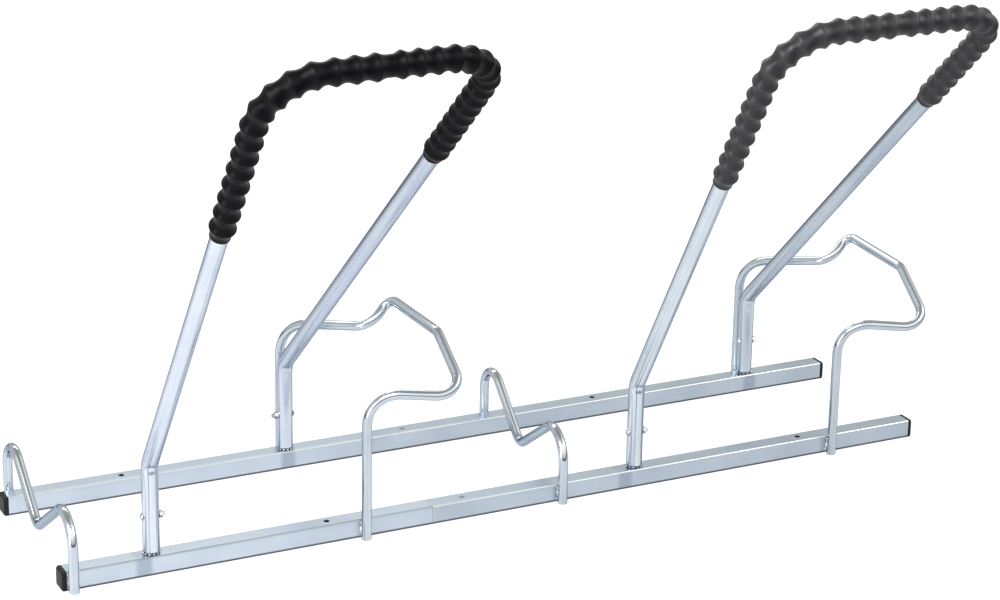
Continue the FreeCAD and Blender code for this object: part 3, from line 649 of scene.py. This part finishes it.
# A ribbed tube along the route: narrow rounded ribs with wide hollow valleys, smooth at both ends.
def makeSleeveTree():
    tree, inside, outside = newTree("ribbedSleeve", [
        ("Rib Diameter", "NodeSocketFloat", 0.037), ("Valley Diameter", "NodeSocketFloat", 0.0295),
        ("Length", "NodeSocketFloat", 0.4), ("Collar", "NodeSocketFloat", 0.012),
        ("Ribs", "NodeSocketInt", 16), ("Crest Radius", "NodeSocketFloat", 0.03),
        ("Sides", "NodeSocketInt", 48), ("Material", "NodeSocketMaterial", None)])
    toCurve = tree.nodes.new("GeometryNodeMeshToCurve")
    tree.links.new(inside.outputs["Geometry"], toCurve.inputs["Mesh"])
    along = named(tree, "along", "FLOAT")
    collar = inside.outputs["Collar"]
    ribbed = mathNode(tree, "SUBTRACT", inside.outputs["Length"], mathNode(tree, "MULTIPLY", collar, 2.0))
    share = mathNode(tree, "DIVIDE", mathNode(tree, "SUBTRACT", along, collar), ribbed)
    phase = mathNode(tree, "MULTIPLY", share, inside.outputs["Ribs"])
    within = mathNode(tree, "MULTIPLY", mathNode(tree, "GREATER_THAN", share, 0.0),
                      mathNode(tree, "LESS_THAN", share, 1.0))
    # the crest is a rounded peak between two wide hollows: 1 - sqrt(cos^2 + softness), scaled to 0 to 1
    soft = inside.outputs["Crest Radius"]
    swing = mathNode(tree, "COSINE", mathNode(tree, "MULTIPLY", phase, math.pi))
    hollow = mathNode(tree, "SQRT", mathNode(tree, "ADD", mathNode(tree, "MULTIPLY", swing, swing), soft))
    deepest = mathNode(tree, "SQRT", mathNode(tree, "ADD", soft, 1.0))
    span = mathNode(tree, "SUBTRACT", deepest, mathNode(tree, "SQRT", soft))
    lift = mathNode(tree, "DIVIDE", mathNode(tree, "SUBTRACT", deepest, hollow), span)
    crest = mathNode(tree, "MULTIPLY", lift, within)
    valley = inside.outputs["Valley Diameter"]
    low = mathNode(tree, "MULTIPLY", valley, 0.5)
    rise = mathNode(tree, "MULTIPLY", mathNode(tree, "SUBTRACT", inside.outputs["Rib Diameter"], valley), 0.5)
    radius = mathNode(tree, "MULTIPLY_ADD", crest, rise, low)
    kept = storeNamed(tree, toCurve.outputs["Curve"], "crest", "FLOAT", crest)
    mesh = sweptCircle(tree, inside, kept, radius)
    finishTree(tree, inside, outside, mesh)
    return tree


# Weld metal: a row of overlapping blobs, each a little different in size, one on every point of the row.
def makeWeldTree():
    tree, inside, outside = newTree("weldRow", [
        ("Blob Radius", "NodeSocketFloat", 0.003), ("Unevenness", "NodeSocketFloat", 0.3),
        ("Seed", "NodeSocketInt", 4), ("Material", "NodeSocketMaterial", None)])
    blob = addNode(tree, "GeometryNodeMeshIcoSphere", Radius=1.0, Subdivisions=3)
    spread = tree.nodes.new("FunctionNodeRandomValue")
    spread.data_type = "FLOAT_VECTOR"
    tree.links.new(mathNode(tree, "SUBTRACT", 1.0, inside.outputs["Unevenness"]), spread.inputs["Min"])
    spread.inputs["Max"].default_value = (1, 1, 1)
    tree.links.new(inside.outputs["Seed"], spread.inputs["Seed"])
    place = tree.nodes.new("GeometryNodeInstanceOnPoints")
    tree.links.new(inside.outputs["Geometry"], place.inputs["Points"])
    tree.links.new(blob.outputs["Mesh"], place.inputs["Instance"])
    tree.links.new(vectorNode(tree, "SCALE", spread.outputs["Value"], scale=inside.outputs["Blob Radius"]),
                   place.inputs["Scale"])
    finishTree(tree, inside, outside, place.outputs["Instances"])
    return tree


barTree = makeBarTree()
sleeveTree = makeSleeveTree()
weldTree = makeWeldTree()


# Runs the tree on the piece and turns its result into a plain mesh.
def runTree(piece, tree, values):
    modifier = piece.modifiers.new("shape", "NODES")
    modifier.node_group = tree
    sockets = {item.name: item.identifier for item in tree.interface.items_tree
               if item.item_type == "SOCKET" and item.in_out == "INPUT"}
    for name, value in values.items():
        modifier[sockets[name]] = value
    view = bpy.context.evaluated_depsgraph_get()
    shaped = bpy.data.meshes.new_from_object(piece.evaluated_get(view))
    piece.modifiers.clear()
    old = piece.data
    piece.data = shaped
    shaped.name = piece.name
    bpy.data.meshes.remove(old)


# Wheel holders
lowHolder = {
    "frontTop": 0.144, "rearTop": 0.148, "dip": 0.0235, "dipBack": 0.182,
    "bends": (0.035, 0.024, 0.045),          # rear top, dip, front top
    "flattening": 0.16, "sides": 40,
    "left": dict(front=0.008, rear=0.011, dipAside=0.0035),
    "right": dict(front=0.7885, rear=0.817, dipAside=0.0065),
}
highHolder = {
    "cradleWidth": 0.133,
    "runAcross": 0.094, "runBack": 0.190, "runHeight": 0.260,
    "peakBack": 0.211, "peakHeight": 0.295,
    "kneeBack": 0.040, "noseAhead": 0.058,
    "bends": (0.062, 0.036, 0.016, 0.022, 0.031, 0.050),     # from the rear leg's top to the front leg's
    "flattening": 0.16, "sides": 40,
    "left": dict(front=0.459, rear=0.455, legTop=0.232, nose=0.226, knee=0.295),
    "right": dict(front=1.281, rear=1.302, legTop=0.225, nose=0.219, knee=0.2915),
}


def lowCorners(place):
    skew = (place["rear"] - place["front"]) / (rearLegY - frontLegY)
    dipX = place["front"] + skew * (lowHolder["dipBack"] - frontLegY) + place["dipAside"]
    return [Vector((place["rear"], rearLegY, 0)),
            Vector((place["rear"], rearLegY, lowHolder["rearTop"])),
            Vector((dipX, lowHolder["dipBack"], lowHolder["dip"])),
            Vector((place["front"], frontLegY, lowHolder["frontTop"])),
            Vector((place["front"], frontLegY, 0))]


def highCorners(place):
    skew = (place["rear"] - place["front"]) / (rearLegY - frontLegY)

    def cradle(across, back, height):
        return Vector((place["front"] + across + back * skew, frontLegY + back - across * skew, height))

    shape = highHolder
    wide = shape["cradleWidth"]
    return [Vector((place["rear"], rearLegY, 0)),
            Vector((place["rear"], rearLegY, place["legTop"])),
            cradle(shape["runAcross"], shape["runBack"], shape["runHeight"]),
            cradle(wide, shape["peakBack"], shape["peakHeight"]),
            cradle(wide, shape["kneeBack"], place["knee"]),
            cradle(wide, -shape["noseAhead"], place["nose"]),
            Vector((place["front"], frontLegY, place["legTop"])),
            Vector((place["front"], frontLegY, 0))]


def standFor(piece, node):
    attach(piece, body)
    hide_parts(node)


for side in ("left", "right"):
    for kind, holder, corners in (("low", lowHolder, lowCorners(lowHolder[side])),
                                  ("high", highHolder, highCorners(highHolder[side]))):
        piece = routeObject(kind + "WheelHolder" + side.title(), bentRoute(corners, holder["bends"])[0])
        runTree(piece, barTree, {"Diameter": rack["barShown"], "Sides": holder["sides"],
                                 "Flattening": holder["flattening"], "Material": zinc["barZinc"]})
        standFor(piece, kind + "_wheel_holder_" + side)
print("wheel holders made")


# Hoops and their sleeves
hoopShape = {
    "foot": 0.0345, "kneeBend": 0.045, "frontBend": 0.084, "rearBend": 0.080,
    "flattening": 0.20, "sides": 48,         # share by which the press flattens the inside of a knee
    "left": dict(front=0.131, rear=0.454, frontKnee=0.167, rearKnee=0.173, top=0.835, reach=0.4255,
                 frontSideways=0.012, rearSideways=0.0085, rise=0.0046),
    "right": dict(front=0.926, rear=1.305, frontKnee=0.167, rearKnee=0.167, top=0.815, reach=0.404,
                  frontSideways=-0.036, rearSideways=-0.0555, rise=0.0028),
}
sleeveShape = {
    "rib": 0.0374, "valley": 0.0293, "collar": 0.004, "crestRadius": 0.03, "sides": 48,
    "gap": 0.0004,                           # 1 mm in the solids; less here, for a thin dark seam
    "step": 0.0011, "turnStep": 0.011,       # fine enough for the ribs
    "left": dict(front=(0.292, 15), rear=(0.276, 16)),   # reach below the hoop's corner, ribs
    "right": dict(front=(0.295, 16), rear=(0.251, 15)),
}


def hoopCorners(place):
    frontTop = place["top"] - place["rise"] / 2
    rearTop = place["top"] + place["rise"] / 2
    return [Vector((place["front"], frontPostY, hoopShape["foot"])),
            Vector((place["front"], frontPostY, place["frontKnee"])),
            Vector((place["front"] + place["frontSideways"], -place["reach"], frontTop)),
            Vector((place["rear"] + place["rearSideways"], -place["reach"], rearTop)),
            Vector((place["rear"], rearPostY, place["rearKnee"])),
            Vector((place["rear"], rearPostY, hoopShape["foot"]))]


# The part of a route between two distances along it.
def cutRoute(stops, start, end):
    lengths = routeLengths(stops)
    kept = []
    for index in range(len(stops) - 1):
        low, high = lengths[index], lengths[index + 1]
        if high <= start or low >= end:
            continue
        for edge in (start, end):
            if low < edge < high:
                share = (edge - low) / (high - low)
                point = stops[index][0].lerp(stops[index + 1][0], share)
                cut = (point, stops[index][1], stops[index][2])
                if edge == start:
                    kept = [cut]
                else:
                    kept.append(cut)
        if high < end:
            kept.append(stops[index + 1])
    return kept


hoopFinishes = {"left": zinc["hoopZinc"], "right": zinc["hoopZincRight"]}
for side in ("left", "right"):
    corners = hoopCorners(hoopShape[side])
    bends = (hoopShape["kneeBend"], hoopShape["frontBend"], hoopShape["rearBend"], hoopShape["kneeBend"])
    hoop = routeObject("leaningHoop" + side.title(), bentRoute(corners, bends)[0])
    runTree(hoop, barTree, {"Diameter": rack["hoopTube"], "Sides": hoopShape["sides"],
                            "Flattening": hoopShape["flattening"], "Material": hoopFinishes[side]})
    standFor(hoop, "leaning_hoop_" + side)
    fine, marks = bentRoute(corners, bends, sleeveShape["step"], sleeveShape["turnStep"])
    frontArc, rearArc = marks[1], marks[2]
    middle = (frontArc[1] + rearArc[0]) / 2
    halfGap = sleeveShape["gap"] / 2
    (frontDown, frontRibs), (rearDown, rearRibs) = sleeveShape[side]["front"], sleeveShape[side]["rear"]
    for name, start, end, ribs in (
            ("front", frontArc[0] + frontArc[2] - frontDown, middle - halfGap, frontRibs),
            ("rear", middle + halfGap, rearArc[1] - rearArc[2] + rearDown, rearRibs)):
        sleeve = routeObject(side + "Hoop" + name.title() + "Sleeve", cutRoute(fine, start, end))
        runTree(sleeve, sleeveTree, {
            "Rib Diameter": sleeveShape["rib"], "Valley Diameter": sleeveShape["valley"], "Ribs": ribs,
            "Length": end - start, "Collar": sleeveShape["collar"], "Sides": sleeveShape["sides"],
            "Crest Radius": sleeveShape["crestRadius"], "Material": rubber[side]})
        standFor(sleeve, side + "_hoop_" + name + "_sleeve")
print("hoops and sleeves made")


# Welds: beads beside every holder leg, and a ring round every hoop foot
weldShape = {
    "beadAside": 0.0054, "beadOffRail": 0.0012, "beadLow": 0.0058, "beadHigh": 0.0242,
    "beadBlob": 0.0029, "beadBlobs": 8,
    "ringRadius": 0.0122, "ringBlob": 0.0021, "ringBlobs": 12,
    "ringLift": 0.9,                         # how far its blobs' middles stand above the rail, in blob radii
    "unevenness": 0.35, "seed": 4,
}


def weldObject(name, points):
    mesh = bpy.data.meshes.new(name)
    mesh.from_pydata([point + originShift for point in points], [], [])
    piece = bpy.data.objects.new(name, mesh)
    scene.collection.objects.link(piece)
    return piece


def beadRow(legX, faceY, out):
    low, high, last = weldShape["beadLow"], weldShape["beadHigh"], weldShape["beadBlobs"] - 1
    return [Vector((legX + aside, faceY + out * weldShape["beadOffRail"], low + (high - low) * step / last))
            for aside in (-weldShape["beadAside"], weldShape["beadAside"]) for step in range(last + 1)]


def weldRing(footX, footY):
    radius, count = weldShape["ringRadius"], weldShape["ringBlobs"]
    height = rack["railSide"] + weldShape["ringBlob"] * weldShape["ringLift"]
    angles = [2 * math.pi * step / count for step in range(count)]
    return [Vector((footX + radius * math.cos(angle), footY + radius * math.sin(angle), height))
            for angle in angles]


beadPoints = []
ringPoints = []
for side in ("left", "right"):
    for holder in (lowHolder, highHolder):
        beadPoints += beadRow(holder[side]["front"], 0.0, -1)
        beadPoints += beadRow(holder[side]["rear"], rearLegY - rack["bar"] / 2, 1)
    ringPoints += weldRing(hoopShape[side]["front"], frontPostY)
    ringPoints += weldRing(hoopShape[side]["rear"], rearPostY)
for name, points, size, node in (("holderWeldBeads", beadPoints, weldShape["beadBlob"], "weld_beads"),
                                 ("hoopFootWelds", ringPoints, weldShape["ringBlob"], "hoop_foot_welds")):
    weld = weldObject(name, points)
    runTree(weld, weldTree, {"Blob Radius": size, "Unevenness": weldShape["unevenness"],
                             "Seed": weldShape["seed"], "Material": zinc["weldZinc"]})
    standFor(weld, node)
print("welds made")

# Finishes of the CAD nodes, by the first of these words that is in a node's name. The nodes that a piece
# replaces get theirs too.
finishes = (
    ("weld", zinc["weldZinc"]), ("screws", zinc["boltZinc"]), ("bolts", zinc["boltZinc"]),
    ("nuts", zinc["boltZinc"]), ("plug", moulded["plugPlastic"]), ("rail_right", zinc["railZincRight"]),
    ("front_rail_left", zinc["railZincFrontLeft"]), ("rail", zinc["railZinc"]), ("stub", zinc["hoopZinc"]),
    ("holder", zinc["barZinc"]), ("sleeve", rubber["left"]), ("leaning", zinc["hoopZinc"]),
)
for name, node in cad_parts.items():
    finish = next(material for key, material in finishes if key in name)
    node.data.materials.clear()
    node.data.materials.append(finish)
print("finishes given")


# Studio: a white floor that keeps the shadow, white surroundings and soft lamps.
studio = {
    "floorReach": 14.0,
    "floorColour": 0.42,
    "floorGlow": 0.84,            # what the camera sees of the floor on top of its lit colour
    # what metal sees of the floor: from and to which place along an axis, and the levels there
    "leftToRight": (-0.8, 0.8, 0.66, 0.44),
    "frontToBack": (0.35, 1.1, 1.0, 0.55),
    "nearToFar": (0.95, 1.35, 1.0, 0.10),    # the floor's far part draws a dark horizon into the metal
    "asideShare": 0.6,            # the near part is longer to the sides and the back than to the front
    "worldLight": (0.50, 0.50, 0.515),
    # brightness of the surroundings in the metal, from straight down (0) to straight up (1)
    "ahead": ((0.0, 0.5), (0.50, 0.10), (0.535, 0.12), (0.575, 0.75), (0.66, 0.95), (0.73, 1.40),
              (0.89, 1.40), (0.94, 0.75), (0.98, 0.42), (1.0, 0.40)),
    "behind": ((0.0, 0.5), (0.50, 0.25), (0.53, 0.60), (0.60, 0.86), (0.66, 0.77), (0.72, 0.72),
               (0.79, 0.55), (0.93, 0.50), (0.975, 0.42), (1.0, 0.40)),
    "turn": (-0.3, 0.3),          # from ahead to behind, by the direction's Y
    "tint": (1.0, 0.985, 0.92),
}
lamps = {
    "keyLamp": dict(spot=(-2.4, -1.6, 2.8), aim=(0, -0.1, 0.3), size=(2.2, 1.4), power=70.0),
    "fillLamp": dict(spot=(2.4, -1.2, 2.2), aim=(0, 0, 0.3), size=(1.6, 1.6), power=14.0),
    "sideLamp": dict(spot=(-3.0, -0.9, 0.75), aim=(0, -0.2, 0.5), size=(1.0, 1.5), power=26.0),
    "backLamp": dict(spot=(0.2, 2.6, 2.4), aim=(0, 0, 0.4), size=(2.6, 0.8), power=18.0),
}


def makeFloor():
    mesh = bpy.data.meshes.new("studioFloor")
    reach = studio["floorReach"]
    corners = [(-reach, -reach, 0), (reach, -reach, 0), (reach, reach, 0), (-reach, reach, 0)]
    mesh.from_pydata(corners, [], [(0, 1, 2, 3)])
    floor = bpy.data.objects.new("studioFloor", mesh)
    scene.collection.objects.link(floor)
    material, nodes, links = newMaterial("studioFloorPaint")
    tree = material.node_tree
    nodes.remove(nodes["Principled BSDF"])
    diffuse = nodes.new("ShaderNodeBsdfDiffuse")
    diffuse.inputs["Color"].default_value = (studio["floorColour"],) * 3 + (1,)
    glow = nodes.new("ShaderNodeEmission")
    path = nodes.new("ShaderNodeLightPath")
    straight = mathNode(tree, "MAXIMUM", path.outputs["Is Camera Ray"], path.outputs["Is Transmission Ray"])
    place = nodes.new("ShaderNodeTexCoord")
    split = nodes.new("ShaderNodeSeparateXYZ")
    links.new(place.outputs["Object"], split.inputs["Vector"])
    across, back = split.outputs["X"], split.outputs["Y"]
    front = mathNode(tree, "MULTIPLY", back, -1.0)
    aside = mathNode(tree, "MULTIPLY", mathNode(tree, "ABSOLUTE", across), studio["asideShare"])
    rear = mathNode(tree, "MULTIPLY", back, studio["asideShare"])
    away = mathNode(tree, "MAXIMUM", mathNode(tree, "MAXIMUM", front, aside), rear)
    inMetal = path.outputs["Is Glossy Ray"]
    for distance, levels in ((across, "leftToRight"), (back, "frontToBack"), (away, "nearToFar")):
        level = addNode(tree, "ShaderNodeMapRange",
                        **dict(zip(("From Min", "From Max", "To Min", "To Max"), studio[levels])))
        links.new(distance, level.inputs["Value"])
        inMetal = mathNode(tree, "MULTIPLY", inMetal, level.outputs["Result"])
    strength = mathNode(tree, "MULTIPLY_ADD", straight, studio["floorGlow"], inMetal)
    links.new(strength, glow.inputs["Strength"])
    both = nodes.new("ShaderNodeAddShader")
    links.new(diffuse.outputs[0], both.inputs[0])
    links.new(glow.outputs[0], both.inputs[1])
    links.new(both.outputs[0], nodes["Material Output"].inputs["Surface"])
    mesh.materials.append(material)


def makeWorld():
    world = bpy.data.worlds.new("studioWorld")
    scene.world = world
    world.use_nodes = True
    tree = world.node_tree
    path = tree.nodes.new("ShaderNodeLightPath")
    clear = mathNode(tree, "MAXIMUM", path.outputs["Is Camera Ray"], path.outputs["Is Transmission Ray"])
    place = tree.nodes.new("ShaderNodeTexCoord")
    split = tree.nodes.new("ShaderNodeSeparateXYZ")
    tree.links.new(place.outputs["Generated"], split.inputs["Vector"])
    height = mathNode(tree, "MULTIPLY_ADD", split.outputs["Z"], 0.5, 0.5)    # 0 straight down, 1 straight up
    halves = []
    for half in ("ahead", "behind"):
        ramp = tree.nodes.new("ShaderNodeValToRGB")
        tree.links.new(height, ramp.inputs["Fac"])
        stops = ramp.color_ramp.elements                  # has its two ends already
        for position, grey in studio[half][1:-1]:
            stops.new(position)
        for stop, (position, grey) in zip(stops, studio[half]):
            stop.position = position
            stop.color = (*(grey * share for share in studio["tint"]), 1)
        halves.append(ramp.outputs["Color"])
    turn = tree.nodes.new("ShaderNodeMapRange")
    turn.inputs["From Min"].default_value, turn.inputs["From Max"].default_value = studio["turn"]
    tree.links.new(split.outputs["Y"], turn.inputs["Value"])
    inMetal = mixColours(tree, turn.outputs["Result"], *halves)
    soft = mixColours(tree, path.outputs["Is Glossy Ray"], (*studio["worldLight"], 1), inMetal)
    seen = mixColours(tree, clear, soft, (1, 1, 1, 1))
    tree.links.new(seen, tree.nodes["Background"].inputs["Color"])


def addLamp(name, spot, aim, size, power):
    data = bpy.data.lights.new(name, "AREA")
    data.shape = "RECTANGLE"
    data.size, data.size_y = size
    data.energy = power
    lamp = bpy.data.objects.new(name, data)
    scene.collection.objects.link(lamp)
    lamp.location = spot
    lamp.rotation_mode = "QUATERNION"
    lamp.rotation_quaternion = (Vector(aim) - Vector(spot)).to_track_quat("-Z", "Y")


makeFloor()
makeWorld()
for name, lamp in lamps.items():
    addLamp(name, **lamp)
print("studio lit")
